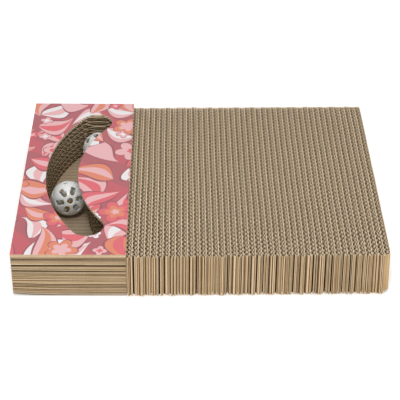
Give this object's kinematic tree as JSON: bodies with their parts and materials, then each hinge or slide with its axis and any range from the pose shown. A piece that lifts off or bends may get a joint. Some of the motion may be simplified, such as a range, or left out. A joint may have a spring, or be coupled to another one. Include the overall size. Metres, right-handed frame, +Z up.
{
  "type": "cardboard cat scratcher",
  "caption": "Low rectangular cat scratcher: a pad of upright corrugated strips beside a block with a curved slot where hollow toy balls roll in a track.",
  "frame": {"origin": "on the floor under the middle of the footprint", "axes": "+X from the toy block to the pad, +Y to the back, +Z up"},
  "size_m": [0.4, 0.3033, 0.0557],
  "materials": {
    "pad_board": "matte",
    "block_board": "matte",
    "printed_board": "satin",
    "ball_plastic": "gloss",
    "bell_metal": "satin",
    "pellet_metal": "satin"
  },
  "bodies": {
    "base": {"floor_sheet": "block_board", "track_sheet_1": "block_board", "track_sheet_2": "block_board", "track_sheet_3": "block_board", "track_sheet_4": "block_board", "track_sheet_5": "block_board", "track_sheet_6": "block_board", "track_sheet_7": "block_board", "printed_top_sheet": "printed_board", "pad_strip_01": "pad_board", "pad_strip_02": "pad_board", "pad_strip_03": "pad_board", "pad_strip_04": "pad_board", "pad_strip_05": "pad_board", "pad_strip_06": "pad_board", "pad_strip_07": "pad_board", "pad_strip_08": "pad_board", "pad_strip_09": "pad_board", "pad_strip_10": "pad_board", "pad_strip_11": "pad_board", "pad_strip_12": "pad_board", "pad_strip_13": "pad_board", "pad_strip_14": "pad_board", "pad_strip_15": "pad_board", "pad_strip_16": "pad_board", "pad_strip_17": "pad_board", "pad_strip_18": "pad_board", "pad_strip_19": "pad_board", "pad_strip_20": "pad_board", "pad_strip_21": "pad_board", "pad_strip_22": "pad_board", "pad_strip_23": "pad_board", "pad_strip_24": "pad_board", "pad_strip_25": "pad_board", "pad_strip_26": "pad_board", "pad_strip_27": "pad_board", "pad_strip_28": "pad_board", "pad_strip_29": "pad_board", "pad_strip_30": "pad_board", "pad_strip_31": "pad_board", "pad_strip_32": "pad_board", "pad_strip_33": "pad_board", "pad_strip_34": "pad_board", "pad_strip_35": "pad_board", "pad_strip_36": "pad_board", "pad_strip_37": "pad_board", "pad_strip_38": "pad_board", "pad_strip_39": "pad_board", "pad_strip_40": "pad_board", "pad_strip_41": "pad_board", "pad_strip_42": "pad_board", "pad_strip_43": "pad_board"},
    "near_bell": {"near_ball_bell": "bell_metal"},
    "near_ball": {"near_ball_front_half": "ball_plastic", "near_ball_rear_half": "ball_plastic"},
    "near_pellet": {"near_ball_pellet": "pellet_metal"},
    "far_bell": {"far_ball_bell": "bell_metal"},
    "far_ball": {"far_ball_front_half": "ball_plastic", "far_ball_rear_half": "ball_plastic"},
    "far_pellet": {"far_ball_pellet": "pellet_metal"}
  },
  "joints": [
    {"name": "near_ball_travel", "type": "hinge", "parent": "base", "child": "near_bell", "pos_m": [0.01737, 0.0033, 0], "axis": [0, 0, -1], "range_deg": [-33.15, 11.55]},
    {"name": "near_ball_roll", "type": "hinge", "parent": "near_bell", "child": "near_ball", "pos_m": [-0.15071, -0.00463, 0.0233], "axis": [-0.9989, -0.0471, 0], "range_deg": [-281, 100]},
    {"name": "near_pellet_rattle", "type": "slide", "parent": "near_bell", "child": "near_pellet", "axis": [0, 0, 1], "range_m": [0, 0.0079]},
    {"name": "far_ball_travel", "type": "hinge", "parent": "base", "child": "far_bell", "pos_m": [0.01737, 0.0033, 0], "axis": [0, 0, -1], "range_deg": [-11.55, 0.65]},
    {"name": "far_ball_roll", "type": "hinge", "parent": "far_bell", "child": "far_ball", "pos_m": [-0.12043, 0.09794, 0.0233], "axis": [-0.8243, 0.5661, 0], "range_deg": [-99, 8]},
    {"name": "far_pellet_rattle", "type": "slide", "parent": "far_bell", "child": "far_pellet", "axis": [0, 0, 1], "range_m": [0, 0.0079]}
  ],
  "couplings": [
    {"joint": "near_ball_roll", "follows": "near_ball_travel", "ratio": 8.4135},
    {"joint": "far_ball_roll", "follows": "far_ball_travel", "ratio": 8.3585}
  ]
}
